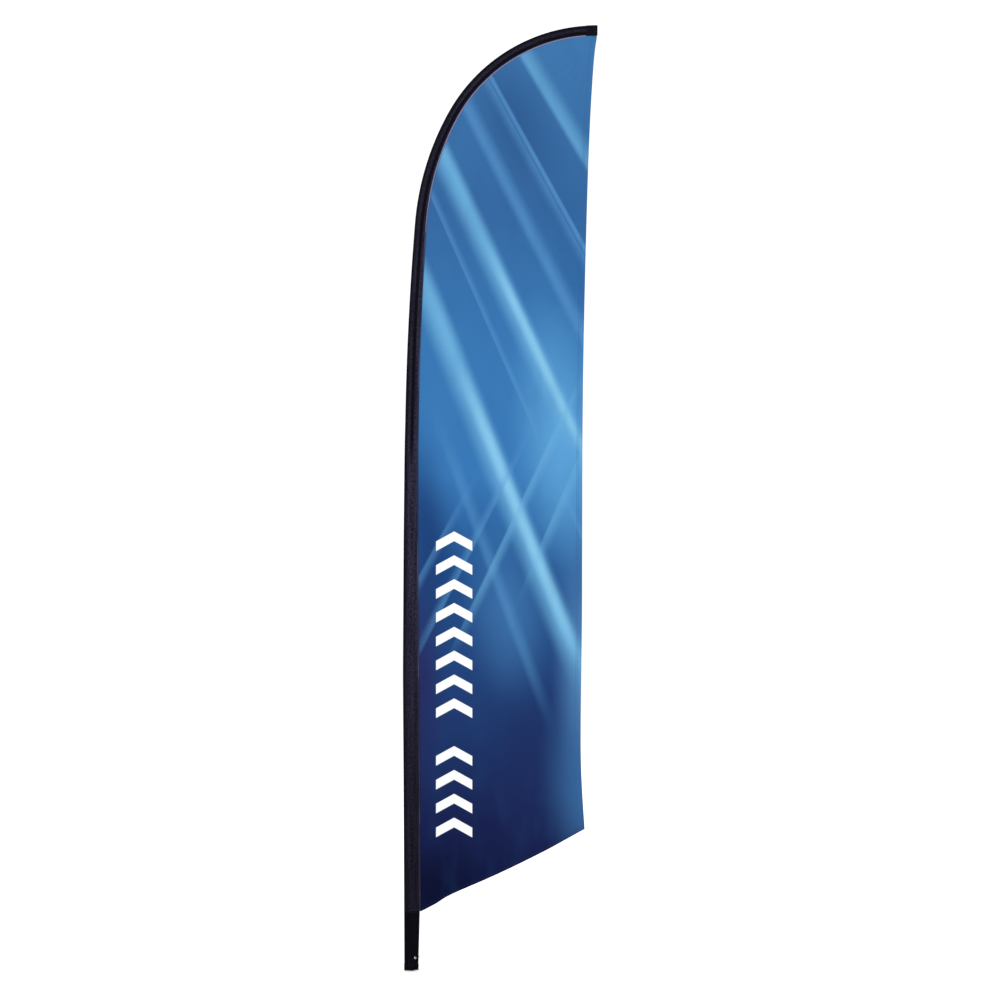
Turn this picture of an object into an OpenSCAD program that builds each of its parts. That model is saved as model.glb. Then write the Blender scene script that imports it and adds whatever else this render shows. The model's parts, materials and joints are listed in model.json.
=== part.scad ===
// Feather flag: a slanted-hem banner on a sectional pole that bends over at the
// head, turning on a ball-bearing spindle hidden in the foot of the pole.
// X runs from the pole towards the fly edge, Y through the cloth, Z up.
// The origin is the centre of the spindle's base face, on the pole's axis.

/* [Pole path] */
// Height at which the pole starts to lean
straight_h = 2092; // [2040:1:2140]
// Radius and turn in degrees of each bend, from the first to the tip
bends = [[13400, 4.45], [1134, 24.55], [699, 61]];

/* [Poles] */
// Outer diameter of the lower pole
lower_od = 30; // [30:0.1:31]
// Inner diameter of the lower pole
lower_id = 27; // [27:0.05:27.2]
// Distance along the pole to the top of the lower pole
lower_top = 1010; // [900:5:1100]
// Outer diameter of the middle pole
middle_od = 26.8; // [26.6:0.05:26.9]
// Inner diameter of the middle pole
middle_id = 23; // [22.9:0.05:23.4]
// Distance along the pole to the top of the middle pole
middle_top = 1950; // [1900:5:2040]
// Outer diameter of the fibreglass upper pole
upper_od = 22.8; // [22.4:0.1:22.8]
// Inner diameter of the fibreglass upper pole
upper_id = 17.4; // [17.4:0.1:18]
// Distance along the pole to the top of the upper pole
upper_top = 2950; // [2800:10:3000]
// Diameter of the tip rod at its foot
tip_rod_foot_d = 17; // [16.6:0.1:17]
// Diameter of the tip rod at its end
tip_rod_end_d = 9; // [7:0.5:9]
// How far each section plugs into the one below
plug_in = 100; // [80:5:120]

/* [Spindle] */
// Diameter of the spindle shaft and bearing bore
shaft_d = 12; // [12:1:12]
// Bearing outer diameter
bearing_od = 24; // [24:1:24]
// Bearing width
bearing_w = 6; // [6:1:6]
// Height of the lower bearing's lower face
lower_bearing_z = 12; // [11:0.5:14]
// Height of the upper bearing's lower face
upper_bearing_z = 150; // [120:5:170]
// Number of balls in each bearing
ball_count = 11; // [9:1:12]
// Radius of the tapping hole for the base's screw
thread_r = 4.25; // [4.25:0.05:4.5]
// Depth of the tapped hole
thread_depth = 25; // [20:1:30]

/* [Sleeve] */
// Distance along the pole to the open foot of the sleeve
sleeve_foot = 3; // [2:1:8]
// Width of the sleeve from fold to seam, against distance along the pole
sleeve_widths = [[0, 58.5], [250, 66], [1100, 67], [2100, 55], [2800, 50], [3700, 43], [4400, 42]];
// Reach of the folded edge beyond the pole's axis, against distance along the pole
fold_reaches = [[0, 16.8], [500, 19], [1250, 23], [1800, 20], [2300, 15], [3000, 13.4], [4400, 9.4]];
// Thickness of the sleeve cloth
sleeve_t = 1; // [0.8:0.1:1.2]
// Width of the flat seam allowance along the sleeve
seam_w = 8; // [6:1:10]
// Height of the eyelets
eyelet_z = 55; // [52:1:60]
// Distance of the eyelets from the pole's axis
eyelet_x = 28.5; // [27:0.5:29]

/* [Banner] */
// Fly edge from the tip corner down to the clew
fly_line = [[791, 3917], [776, 3790], [757, 3440], [740, 2850],
    [731, 2300], [728, 1500], [723, 925], [739, 593]];
// Bottom edge from the tack to the clew
foot_line = [[51, 247], [116, 281], [183, 321], [385, 410], [585, 508], [739, 593]];
// Thickness of the banner cloth
cloth_t = 1.2; // [1:0.1:1.6]
// Thickness of a folded hem
hem_t = 2.4; // [2:0.1:3.2]
// Width of the hem along the fly edge
fly_hem_w = 25; // [20:1:30]
// Width of the hem along the bottom edge
foot_hem_w = 12; // [10:1:15]
// Gap left along the line on which the banner swings
swing_gap = 1; // [0.8:0.1:2]

/* [Hidden] */
$fn = 64;

flange_d = 29;
flange_h = 5;
boss_d = 18;
washer_d = 22;
lip_z = 6.5;                       // underside of the barrel's lip
lip_h = 2.5;
pole_foot = lip_z + lip_h;         // the lower pole stands on the lip
shaft_top = 166;
circlip_z = upper_bearing_z + bearing_w + 0.3;
circlip_h = 1;
groove_d = 11;
ball_d = 3;
ball_clearance = 0.05;
pitch_r = (shaft_d + bearing_od) / 4;   // radius of the ring of ball centres
barrel_top = 172;
barrel_od = lower_id - 0.2;
land_d = bearing_od - 2;           // shoulder between the two bearing seats
cap_h = 8;
ferrule_t = 0.5;
ferrule_h = 45;
button_d = 8;
button_hole_d = button_d + 0.2;
button_proud = 3.2;
lower_button_z = lower_top - plug_in / 2;
upper_button_z = middle_top - plug_in / 2;
spring_t = 0.8;
spring_w = 7;
spring_drop = 45;                  // length of a button spring's legs
hook_wire_d = 3;
hook_z = 26;                       // height of the hook's root
plate_t = 1.5;                     // the hook's back plate
rivet_d = 2.8;
rivet_z = 37;
hook_w = 7.4;                      // across the hook's bend, wire centre to wire centre
eyelet_od = 10;
eyelet_barrel_d = 6.6;
eyelet_id = 5.4;
eyelet_flange_t = 0.8;
cord_d = 3;
panel_start = 250;                 // where the sleeve's tail ends and the banner's seam begins
pocket_start = 4318;
pocket_end = 4365.5;
sleeve_end = 4362;
rod_end = 4340;
tape_w = 5;
tape_lap = 2;                      // how far the tape lies over the sleeve's allowance
tape_t = 0.7;
slit = 0.3;                        // half thickness of the hollow where it meets the seam
seat_gap = 0.05;
pocket_gap = 1.2;                  // from the sleeve's seam to the banner, inside the pocket
touch = 0.1;                       // gap between pieces that are sewn or clamped together
taper_h = 60;                      // length over which the sleeve narrows above each pole
section_steps = 6;                 // points along each quarter of the sleeve's section
section_power = 1.7;               // how full the section is between the pole and the seam
swing_foot = [62, 253];            // ends of the line on which the banner swings
swing_head = [777, 3880];

// ---- Pole path ----
function arc_length(i) = bends[i][0] * bends[i][1] * PI / 180;
function bend_start(i) = i == 0 ? straight_h : bend_start(i - 1) + arc_length(i - 1);
function lean_before(i) = i == 0 ? 0 : lean_before(i - 1) + bends[i - 1][1];
function along_arc(p, lean, r, turn) =
    p + r * [cos(lean) - cos(lean + turn), sin(lean + turn) - sin(lean)];
function bend_foot(i) = i == 0 ? [0, straight_h]
    : along_arc(bend_foot(i - 1), lean_before(i - 1), bends[i - 1][0], bends[i - 1][1]);
function bend_at(s, i = 0) =
    i == len(bends) - 1 || s < bend_start(i + 1) ? i : bend_at(s, i + 1);
function turn_at(s, i) = (s - bend_start(i)) / bends[i][0] * 180 / PI;
function axis_at(s) = s < straight_h ? [0, s]
    : let (i = bend_at(s)) along_arc(bend_foot(i), lean_before(i), bends[i][0], turn_at(s, i));
function lean_at(s) = s < straight_h ? 0 : let (i = bend_at(s)) lean_before(i) + turn_at(s, i);
// A point at distance s along the pole and d off its axis, towards the banner
function beside(s, d) = axis_at(s) + d * [cos(lean_at(s)), -sin(lean_at(s))];

// Distances along the pole at which the cloth is drawn, closer together in the bends
all_stations = concat([sleeve_foot, 30, 80, 140, panel_start, 500, 750],
    [lower_top, lower_top + taper_h, 1300, 1600, middle_top, middle_top + taper_h],
    [for (s = [straight_h:170:2800]) s], [upper_top - ferrule_h, upper_top, 3040],
    [for (s = [3140:48:4300]) s], [pocket_start, sleeve_end]);
function stations(from, to) =
    concat([from], [for (s = all_stations) if (s > from + 1 && s < to - 1) s], [to]);

// ---- Sleeve section ----
function fold_at(s) = lookup(s, fold_reaches);
function seam_at(s) = lookup(s, sleeve_widths) - fold_at(s);
function pole_r_at(s) = lookup(s, [[lower_top, lower_od / 2], [lower_top + taper_h, middle_od / 2],
    [middle_top, middle_od / 2], [middle_top + taper_h, upper_od / 2], [upper_top, upper_od / 2 + ferrule_t],
    [sleeve_end, tip_rod_end_d / 2 + 1]]);
// One side of the section, from the fold to the seam: [across the pole, half thickness].
// grow is 0 for the hollow, and from the cloth's thickness up for an outside.
function half_section(s, grow) =
    let (fold = fold_at(s) - sleeve_t, half = pole_r_at(s) + 0.5, flat = seam_at(s) - seam_w,
        proud = grow - sleeve_t, edge_y = hem_t / 2 + proud)
    concat(
        [for (k = [0:section_steps]) let (a = 90 * k / section_steps)
            [-(fold + grow) * cos(a), (half + grow) * sin(a)]],
        [for (k = [1:section_steps - 1]) let (u = k / section_steps)
            [flat * u, half * (1 - pow(u, section_power)) + grow]],
        grow == 0 ? [[flat - 1, slit], [flat, slit / 2]] : [[flat, edge_y], [seam_at(s) + proud, edge_y]]);
function section(s, grow) =
    let (side = half_section(s, grow), n = len(side))
    concat(side, [for (k = [n - 1:-1:1]) [side[k][0], -side[k][1]]]);
function place(s, p) = let (q = beside(s, p[0])) [q[0], p[1], q[1]];
function ring(s, grow) = [for (p = section(s, grow)) place(s, p)];

// ---- Meshes ----
function quads(first, second, n, flip) = [for (k = [0:n - 1]) let (j = (k + 1) % n)
    flip ? [first + k, second + k, second + j, first + j]
        : [first + k, first + j, second + j, second + k]];
function band(rows, n, offset, flip) =
    [for (r = [0:rows - 2]) each quads(offset + r * n, offset + (r + 1) * n, n, flip)];

// A solid through rings of equal length, closed at both ends
module sweep_solid(rings) {
    n = len(rings[0]);
    rows = len(rings);
    polyhedron([for (r = rings) each r],
        concat(band(rows, n, 0, false), [[for (k = [n - 1:-1:0]) k]],
            [[for (k = [0:n - 1]) (rows - 1) * n + k]]),
        convexity = 8);
}

// The cloth between an outer and an inner skin, open at both ends
module cloth_tube(from, to, outer, inner) {
    rows = stations(from, to);
    n = len(section(from, outer));
    skin = len(rows) * n;
    last = skin - n;
    polyhedron(concat([for (s = rows) each ring(s, outer)], [for (s = rows) each ring(s, inner)]),
        concat(band(len(rows), n, 0, false), band(len(rows), n, skin, true),
            quads(0, skin, n, true), quads(last, skin + last, n, false)),
        convexity = 8);
}

// A round solid along the pole's path whose radius runs from r0 to r1
module tapered_rod(from, to, r0, r1, sides = 16) {
    rows = [for (s = stations(from, to)) s];
    sweep_solid([for (s = rows) let (r = r0 + (r1 - r0) * (s - from) / (to - from))
        [for (k = [0:sides - 1]) place(s, r * [-cos(360 * k / sides), sin(360 * k / sides)])]]);
}

// Moves a piece drawn upright at the origin to distance s along the pole
module at_pole(s) {
    p = axis_at(s);
    translate([p[0], 0, p[1]]) rotate([0, lean_at(s), 0]) children();
}

module tube(od, id, z0, z1) {
    translate([0, 0, z0]) difference() {
        cylinder(d = od, h = z1 - z0);
        translate([0, 0, -1]) cylinder(d = id, h = z1 - z0 + 2);
    }
}

// A flat piece of cloth in the XZ plane, t thick, of a shape drawn in X and Z
module cloth(t) {
    rotate([90, 0, 0]) translate([0, 0, -t / 2]) linear_extrude(t) children();
}

// ---- Spindle ----
module spindle_shaft() {
    color([0.62, 0.63, 0.65]) difference() {
        union() {
            cylinder(d = flange_d, h = flange_h);
            cylinder(d = boss_d, h = lower_bearing_z);
            cylinder(d = shaft_d, h = shaft_top - 1);
            translate([0, 0, shaft_top - 1]) cylinder(d1 = shaft_d, d2 = shaft_d - 2, h = 1);
        }
        translate([0, 0, -1]) cylinder(r = thread_r, h = thread_depth + 1);
        translate([0, 0, circlip_z]) difference() {
            cylinder(d = shaft_d + 4, h = circlip_h);
            translate([0, 0, -1]) cylinder(d = groove_d, h = circlip_h + 2);
        }
    }
}

module thrust_washer() {
    color([0.85, 0.82, 0.7]) tube(washer_d, boss_d + 0.3, flange_h + 0.05, lip_z - 0.3);
}

module inner_race(z) {
    color([0.75, 0.76, 0.78]) difference() {
        tube(2 * pitch_r - 1.6, shaft_d + 0.02, z, z + bearing_w);
        translate([0, 0, z + bearing_w / 2])
            rotate_extrude() translate([pitch_r, 0]) circle(r = ball_d / 2 + ball_clearance, $fn = 48);
    }
}

module outer_race(z) {
    color([0.75, 0.76, 0.78]) difference() {
        tube(bearing_od - 0.02, 2 * pitch_r + 1.6, z, z + bearing_w);
        translate([0, 0, z + bearing_w / 2])
            rotate_extrude() translate([pitch_r, 0]) circle(r = ball_d / 2 + ball_clearance, $fn = 48);
    }
}

module ball_ring(z) {
    color([0.9, 0.9, 0.92]) for (k = [0:ball_count - 1])
        rotate([0, 0, 360 * k / ball_count]) translate([pitch_r, 0, z + bearing_w / 2])
            sphere(d = ball_d, $fn = 32);
}

module ball_cage(z) {
    color([0.72, 0.55, 0.3]) difference() {
        tube(2 * pitch_r + 1, 2 * pitch_r - 1, z + 0.8, z + bearing_w - 0.8);
        for (k = [0:ball_count - 1])
            rotate([0, 0, 360 * k / ball_count]) translate([pitch_r - 2, 0, z + bearing_w / 2])
                rotate([0, 90, 0]) cylinder(d = ball_d + 0.1, h = 4);
    }
}

module lower_inner_race() { inner_race(lower_bearing_z); }
module upper_inner_race() { inner_race(upper_bearing_z); }
module lower_outer_race() { outer_race(lower_bearing_z); }
module upper_outer_race() { outer_race(upper_bearing_z); }
module lower_ball_ring() { ball_ring(lower_bearing_z); }
module upper_ball_ring() { ball_ring(upper_bearing_z); }
module lower_ball_cage() { ball_cage(lower_bearing_z); }
module upper_ball_cage() { ball_cage(upper_bearing_z); }

module race_spacer() {
    color([0.7, 0.7, 0.72])
        tube(shaft_d + 3, shaft_d + 0.1, lower_bearing_z + bearing_w + 0.02, upper_bearing_z - 0.02);
}

module spindle_circlip() {
    color([0.25, 0.25, 0.27]) difference() {
        tube(shaft_d + 3, groove_d + 0.04, circlip_z + 0.03, circlip_z + circlip_h - 0.03);
        translate([groove_d / 2 - 1, -1.5, circlip_z - 1]) cube([6, 3, 3]);
    }
}

module rotor_barrel() {
    color([0.78, 0.79, 0.8]) difference() {
        union() {
            translate([0, 0, lip_z]) cylinder(d = lower_od, h = lip_h);
            translate([0, 0, lip_z]) cylinder(d = barrel_od, h = barrel_top - lip_z);
        }
        translate([0, 0, lip_z - 1])
            cylinder(d = bearing_od, h = lower_bearing_z + bearing_w + seat_gap - lip_z + 1);
        cylinder(d = land_d, h = barrel_top + 1);
        translate([0, 0, upper_bearing_z - seat_gap])
            cylinder(d = bearing_od, h = barrel_top - upper_bearing_z + 1);
    }
}

module barrel_cap() {
    color([0.1, 0.1, 0.11]) {
        translate([0, 0, barrel_top + 0.05]) cylinder(d1 = barrel_od, d2 = barrel_od - 6, h = cap_h - 4);
        translate([0, 0, barrel_top - 4]) cylinder(d = bearing_od - 0.1, h = 5);
    }
}

// ---- Poles ----
module lower_pole() {
    color([0.7, 0.71, 0.73]) difference() {
        tube(lower_od, lower_id, pole_foot + 0.05, lower_top);
        translate([0, 0, lower_button_z]) rotate([0, 90, 0]) cylinder(d = button_hole_d, h = lower_od);
        translate([0, 0, rivet_z]) rotate([0, 90, 0]) cylinder(d = rivet_d + touch, h = lower_od);
    }
}

module middle_pole() {
    color([0.68, 0.69, 0.71]) difference() {
        tube(middle_od, middle_id, lower_top - plug_in, middle_top);
        for (z = [lower_button_z, upper_button_z])
            translate([0, 0, z]) rotate([0, 90, 0]) cylinder(d = button_hole_d, h = lower_od);
    }
}

module upper_pole() {
    foot = middle_top - plug_in;
    color([0.8, 0.78, 0.7]) difference() {
        tapered_rod(foot, upper_top, upper_od / 2, upper_od / 2, 24);
        tapered_rod(foot - 1, upper_top + 1, upper_id / 2, upper_id / 2, 24);
        translate([0, 0, upper_button_z]) rotate([0, 90, 0]) cylinder(d = button_hole_d, h = lower_od);
    }
}

module upper_pole_ferrule() {
    color([0.7, 0.7, 0.72]) at_pole(upper_top - ferrule_h / 2)
        tube(upper_od + 2 * ferrule_t + 0.3, upper_od + 0.3, -ferrule_h / 2, ferrule_h / 2);
}

module tip_rod() {
    color([0.82, 0.8, 0.72]) tapered_rod(upper_top - plug_in, rod_end, tip_rod_foot_d / 2, tip_rod_end_d / 2);
}

module tip_rod_cap() {
    color([0.1, 0.1, 0.1]) at_pole(rod_end) difference() {
        union() {
            translate([0, 0, -14]) cylinder(d = tip_rod_end_d + 3, h = 16);
            translate([0, 0, 2]) sphere(d = tip_rod_end_d + 3, $fn = 48);
        }
        translate([0, 0, -15]) cylinder(d = tip_rod_end_d + 1, h = 15.05);
    }
}

// ---- Snap buttons ----
// bore_r is the inside radius of the tube that carries the button
module snap_button(z, bore_r, out_r) {
    color([0.8, 0.8, 0.82]) translate([0, 0, z]) rotate([0, 90, 0]) {
        translate([0, 0, bore_r - 4]) cylinder(d = button_d, h = out_r + button_proud - 1.5 - bore_r + 4);
        translate([0, 0, out_r + button_proud - 1.5]) cylinder(d1 = button_d, d2 = button_d - 3, h = 1.5);
    }
}

// A U of strip steel: one leg lies on the far wall, the other pushes the button out
module button_spring(z, bore_r) {
    leg_x = bore_r - 4.1;
    far_x = -sqrt(bore_r * bore_r - spring_w * spring_w / 4) + 0.2;
    bend_r = (leg_x - far_x) / 2;
    color([0.55, 0.56, 0.6]) rotate([90, 0, 0]) translate([0, 0, -spring_w / 2]) linear_extrude(spring_w) {
        translate([leg_x - spring_t, z - spring_drop]) square([spring_t, spring_drop + 5]);
        translate([far_x, z - spring_drop]) square([spring_t, spring_drop + 5]);
        translate([far_x + bend_r, z - spring_drop]) difference() {
            circle(r = bend_r);
            circle(r = bend_r - spring_t);
            translate([-bend_r - 1, 0]) square([2 * bend_r + 2, bend_r + 1]);
        }
    }
}

module lower_snap_button() { snap_button(lower_button_z, middle_id / 2, lower_od / 2); }
module upper_snap_button() { snap_button(upper_button_z, upper_id / 2, middle_od / 2); }
module lower_button_spring() { button_spring(lower_button_z, middle_id / 2); }
module upper_button_spring() { button_spring(upper_button_z, upper_id / 2); }

// ---- Foot tension ----
module pole_hook() {
    root_x = lower_od / 2 + touch + plate_t;
    bend_r = hook_w / 2;
    color([0.75, 0.75, 0.77]) {
        translate([lower_od / 2 + touch, 0, 0]) difference() {
            translate([0, -4, hook_z - 14]) cube([plate_t, 8, 30]);
            translate([-1, 0, rivet_z]) rotate([0, 90, 0]) cylinder(d = rivet_d + touch, h = plate_t + 2);
        }
        translate([root_x + bend_r, 0, hook_z]) rotate([90, 0, 0]) rotate_extrude(angle = 180)
            translate([bend_r, 0]) circle(d = hook_wire_d, $fn = 24);
        translate([root_x, 0, hook_z - 4]) cylinder(d = hook_wire_d, h = 4, $fn = 24);
        translate([root_x + hook_w, 0, hook_z - 9]) cylinder(d = hook_wire_d, h = 9, $fn = 24);
        translate([root_x + hook_w, 0, hook_z - 9]) sphere(d = hook_wire_d, $fn = 24);
    }
}

module hook_rivet() {
    head_x = lower_od / 2 + plate_t + 2 * touch;
    color([0.7, 0.7, 0.72]) translate([0, 0, rivet_z]) rotate([0, 90, 0]) {
        translate([0, 0, head_x]) cylinder(d = 2 * rivet_d, h = 1.4);
        translate([0, 0, lower_id / 2 + touch]) cylinder(d = rivet_d, h = head_x - lower_id / 2);
    }
}

// Half of the elastic loop: from the hook, out through the front eyelet to the seam's edge
cord_half = [[20.3, -3, 27.6], [21, -4.5, 33], [24, -4.2, 44], [26.7, -2.6, 53.5], [28.5, -5.2, 55],
    [30.5, -8, 55.6], [36, -6.6, 57.5], [42, -4, 58]];
cord_route = concat([[20.3, 0, 26.6]], cord_half, [[46, 0, 58]],
    [for (k = [len(cord_half) - 1:-1:0]) [cord_half[k][0], -cord_half[k][1], cord_half[k][2]]]);

function unit(v) = v / norm(v);
function loop_ring(points, k, r, sides) =
    let (n = len(points), along = unit(points[(k + 1) % n] - points[(k + n - 1) % n]),
        side = unit(cross(along, [1, 0.001, 0])), up = cross(side, along))
    [for (j = [0:sides - 1]) points[k] + r * (cos(360 * j / sides) * side + sin(360 * j / sides) * up)];

module closed_tube(points, d, sides) {
    n = len(points);
    polyhedron([for (k = [0:n - 1]) each loop_ring(points, k, d / 2, sides)],
        [for (k = [0:n - 1]) each quads(k * sides, ((k + 1) % n) * sides, sides, false)], convexity = 6);
}

module tension_cord() {
    color([0.08, 0.08, 0.09]) closed_tube(cord_route, cord_d, 8);
}

// ---- Sleeve ----
// Moves a piece drawn upright at the origin to the eyelet's place in the front (-1) or back (1) wall
module on_wall(face) {
    reach = seam_at(eyelet_z) - seam_w;
    half = pole_r_at(eyelet_z) + 0.5;
    slope = atan(half * section_power / reach * pow(eyelet_x / reach, section_power - 1));
    wall_y = half * (1 - pow(eyelet_x / reach, section_power)) + sleeve_t / 2;
    translate([eyelet_x, face * wall_y, eyelet_z]) rotate([0, 0, -face * slope]) rotate([-90 * face, 0, 0])
        children();
}

module pole_sleeve() {
    color([0.1, 0.09, 0.14]) cloth_tube(panel_start + touch, sleeve_end, sleeve_t, 0);
}

// The reinforced tail of the sleeve, below the banner
module sleeve_tail() {
    color([0.03, 0.03, 0.05]) difference() {
        cloth_tube(sleeve_foot, panel_start, sleeve_t, 0);
        for (face = [-1, 1]) on_wall(face)
            translate([0, 0, -2]) cylinder(d = eyelet_barrel_d + 0.2, h = 4);
    }
}

module sleeve_cuff() {
    color([0.02, 0.02, 0.03]) cloth_tube(sleeve_foot, 30, 2 * sleeve_t, sleeve_t + touch);
}

module tip_pocket() {
    color([0.05, 0.05, 0.07]) difference() {
        sweep_solid([for (s = stations(pocket_start, pocket_end)) ring(s, 2 * sleeve_t)]);
        sweep_solid([for (s = stations(pocket_start - 1, sleeve_end + touch)) ring(s, sleeve_t + touch)]);
    }
}

module sleeve_eyelets() {
    color([0.8, 0.8, 0.78]) for (face = [-1, 1]) on_wall(face) difference() {
        union() {
            translate([0, 0, sleeve_t / 2 + 0.3]) cylinder(d = eyelet_od, h = eyelet_flange_t);
            translate([0, 0, -1.4]) cylinder(d = eyelet_barrel_d, h = 2.5);
        }
        translate([0, 0, -3]) cylinder(d = eyelet_id, h = 6);
    }
}

module eyelet_washers() {
    color([0.8, 0.8, 0.78]) for (face = [-1, 1]) on_wall(face)
        tube(eyelet_od - 0.6, eyelet_barrel_d + touch, -sleeve_t / 2 - 0.9, -sleeve_t / 2 - 0.3);
}

// ---- Banner ----
function spline_at(p0, p1, p2, p3, t) = 0.5 * (2 * p1 + t * (p2 - p0)
    + t * t * (2 * p0 - 5 * p1 + 4 * p2 - p3) + t * t * t * (3 * p1 - p0 - 3 * p2 + p3));
function spline(points, steps = 6) = let (n = len(points)) concat(
    [for (i = [0:n - 2]) for (k = [0:steps - 1])
        spline_at(points[max(i - 1, 0)], points[i], points[i + 1], points[min(i + 2, n - 1)], k / steps)],
    [points[n - 1]]);
function reversed(points) = [for (k = [len(points) - 1:-1:0]) points[k]];
fly = spline(fly_line);
foot = spline(foot_line);
swing_dir = unit(swing_head - swing_foot);
swing_side = [swing_dir[1], -swing_dir[0]];

module seam_tape() {
    rows = stations(panel_start, pocket_start - 1);
    inner_edge = [for (s = rows) beside(s, seam_at(s) - tape_lap)];
    outer_edge = [for (s = rows) beside(s, seam_at(s) + tape_w - tape_lap)];
    color([0.75, 0.68, 0.75]) for (face = [-1, 1])
        translate([0, face * (hem_t / 2 + tape_t / 2 + touch), 0]) cloth(tape_t)
            polygon(concat(inner_edge, reversed(outer_edge)));
}

// The whole banner inside its hems, from the sleeve's seam
module banner_outline() {
    rows = stations(panel_start, sleeve_end);
    difference() {
        polygon(concat([for (s = rows) beside(s, seam_at(s) + (s < pocket_start ? touch : pocket_gap))],
            fly, reversed(foot)));
        children();
    }
}

// The strip of width w inside the fly or the bottom edge
module edge_strip(edge, w, inward) {
    polygon(concat([for (p = edge) p - w * inward], reversed([for (p = edge) p + w * inward])));
}

// Everything beyond the swing line and clear of the tip
module swing_side_area(gap) {
    start = swing_foot + gap * swing_side - 60 * swing_dir;
    end = swing_head + gap * swing_side - gap * swing_dir;
    polygon([start, end, end + 400 * swing_side, start + 1200 * swing_side]);
}

module hem_area() {
    edge_strip(fly, fly_hem_w, [-1, 0]);
    edge_strip(foot, foot_hem_w, [-0.45, 0.89]);
}

module mast_panel() {
    color([0.2, 0.45, 0.72]) cloth(cloth_t) difference() {
        banner_outline();
        swing_side_area(-swing_gap / 2);
    }
}

module sail_panel() {
    color([0.25, 0.5, 0.78]) cloth(cloth_t) intersection() {
        banner_outline() hem_area();
        swing_side_area(swing_gap / 2);
    }
}

module fly_hem() {
    color([0.22, 0.47, 0.75]) cloth(hem_t) intersection() {
        banner_outline() edge_strip(foot, foot_hem_w, [-0.45, 0.89]);
        swing_side_area(swing_gap / 2);
        edge_strip(fly, fly_hem_w - touch, [-1, 0]);
    }
}

module bottom_hem() {
    color([0.07, 0.12, 0.3]) cloth(hem_t) intersection() {
        banner_outline();
        swing_side_area(swing_gap / 2);
        edge_strip(foot, foot_hem_w - touch, [-0.45, 0.89]);
    }
}

spindle_shaft();
thrust_washer();
lower_inner_race();
race_spacer();
upper_inner_race();
spindle_circlip();
lower_ball_ring();
lower_ball_cage();
upper_ball_ring();
upper_ball_cage();
rotor_barrel();
lower_outer_race();
upper_outer_race();
barrel_cap();
lower_pole();
middle_pole();
upper_pole();
upper_pole_ferrule();
tip_rod();
tip_rod_cap();
lower_snap_button();
lower_button_spring();
upper_snap_button();
upper_button_spring();
pole_hook();
hook_rivet();
tension_cord();
pole_sleeve();
sleeve_tail();
sleeve_cuff();
tip_pocket();
sleeve_eyelets();
eyelet_washers();
seam_tape();
mast_panel();
sail_panel();
fly_hem();
bottom_hem();
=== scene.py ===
"""The looks of a feather flag: a printed banner on a black pole sleeve over a bent pole.

Everything is in metres, in the frame of the CAD part: X from the pole towards the fly edge,
Y through the cloth (the printed front faces -Y), Z up, with the origin in the middle of the
spindle's base. The cloth is drawn as grids from the same pole path, sleeve widths and banner
edges as the CAD.
"""

import json
import math

import bpy
import numpy as np
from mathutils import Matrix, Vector


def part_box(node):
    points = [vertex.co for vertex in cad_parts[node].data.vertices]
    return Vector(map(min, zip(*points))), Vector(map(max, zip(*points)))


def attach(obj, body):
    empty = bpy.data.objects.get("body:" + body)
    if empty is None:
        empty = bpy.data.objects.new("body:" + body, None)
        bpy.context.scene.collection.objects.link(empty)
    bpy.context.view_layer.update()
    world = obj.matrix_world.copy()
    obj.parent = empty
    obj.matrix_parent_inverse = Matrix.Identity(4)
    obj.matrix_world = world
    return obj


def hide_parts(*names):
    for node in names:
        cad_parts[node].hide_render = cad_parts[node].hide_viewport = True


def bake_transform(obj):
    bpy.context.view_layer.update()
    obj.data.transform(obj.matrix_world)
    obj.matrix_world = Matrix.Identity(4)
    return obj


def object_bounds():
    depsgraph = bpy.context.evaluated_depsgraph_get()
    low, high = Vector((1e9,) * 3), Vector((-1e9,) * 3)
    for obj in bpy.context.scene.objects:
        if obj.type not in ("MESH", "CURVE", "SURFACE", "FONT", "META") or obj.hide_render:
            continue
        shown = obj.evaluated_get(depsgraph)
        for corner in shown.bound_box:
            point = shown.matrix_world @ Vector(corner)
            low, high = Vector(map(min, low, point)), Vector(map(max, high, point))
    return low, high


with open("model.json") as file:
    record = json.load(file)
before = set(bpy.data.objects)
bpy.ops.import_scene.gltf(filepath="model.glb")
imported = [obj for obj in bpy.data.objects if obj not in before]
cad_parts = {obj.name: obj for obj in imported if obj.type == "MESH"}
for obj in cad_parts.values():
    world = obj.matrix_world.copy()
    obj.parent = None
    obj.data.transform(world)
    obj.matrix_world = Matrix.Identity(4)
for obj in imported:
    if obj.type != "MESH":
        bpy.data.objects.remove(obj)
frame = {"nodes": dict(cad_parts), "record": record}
cad_low, cad_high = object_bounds()

# ---- Driving dimensions, as in the CAD ----
STRAIGHT_H = 2.092  # height at which the pole starts to lean
BENDS = ((13.4, 4.45), (1.134, 24.55), (0.699, 61.0))  # radius and turn in degrees
SLEEVE_FOOT, PANEL_START = 0.003, 0.250
POCKET_START, SLEEVE_END, POCKET_END = 4.318, 4.362, 4.3655
SLEEVE_T = 0.001
SEAM_W = 0.008
HEM_T = 0.0024
TOUCH = 0.0001  # gap between pieces that lie on each other
CORD_D = 0.003
# Distance along the pole with the sleeve's width, its fold's distance from the axis, and the pole's radius
SLEEVE_WIDTHS = ((0, 0.0585), (0.25, 0.066), (1.1, 0.067), (2.1, 0.055), (2.8, 0.05), (3.7, 0.043),
                 (4.4, 0.042))
FOLD_REACHES = ((0, 0.0168), (0.5, 0.019), (1.25, 0.023), (1.8, 0.02), (2.3, 0.015), (3.0, 0.0134),
                (4.4, 0.0094))
POLE_RADII = ((1.01, 0.015), (1.07, 0.0134), (1.95, 0.0134), (2.01, 0.0114), (2.95, 0.0119), (4.362, 0.0055))
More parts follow.
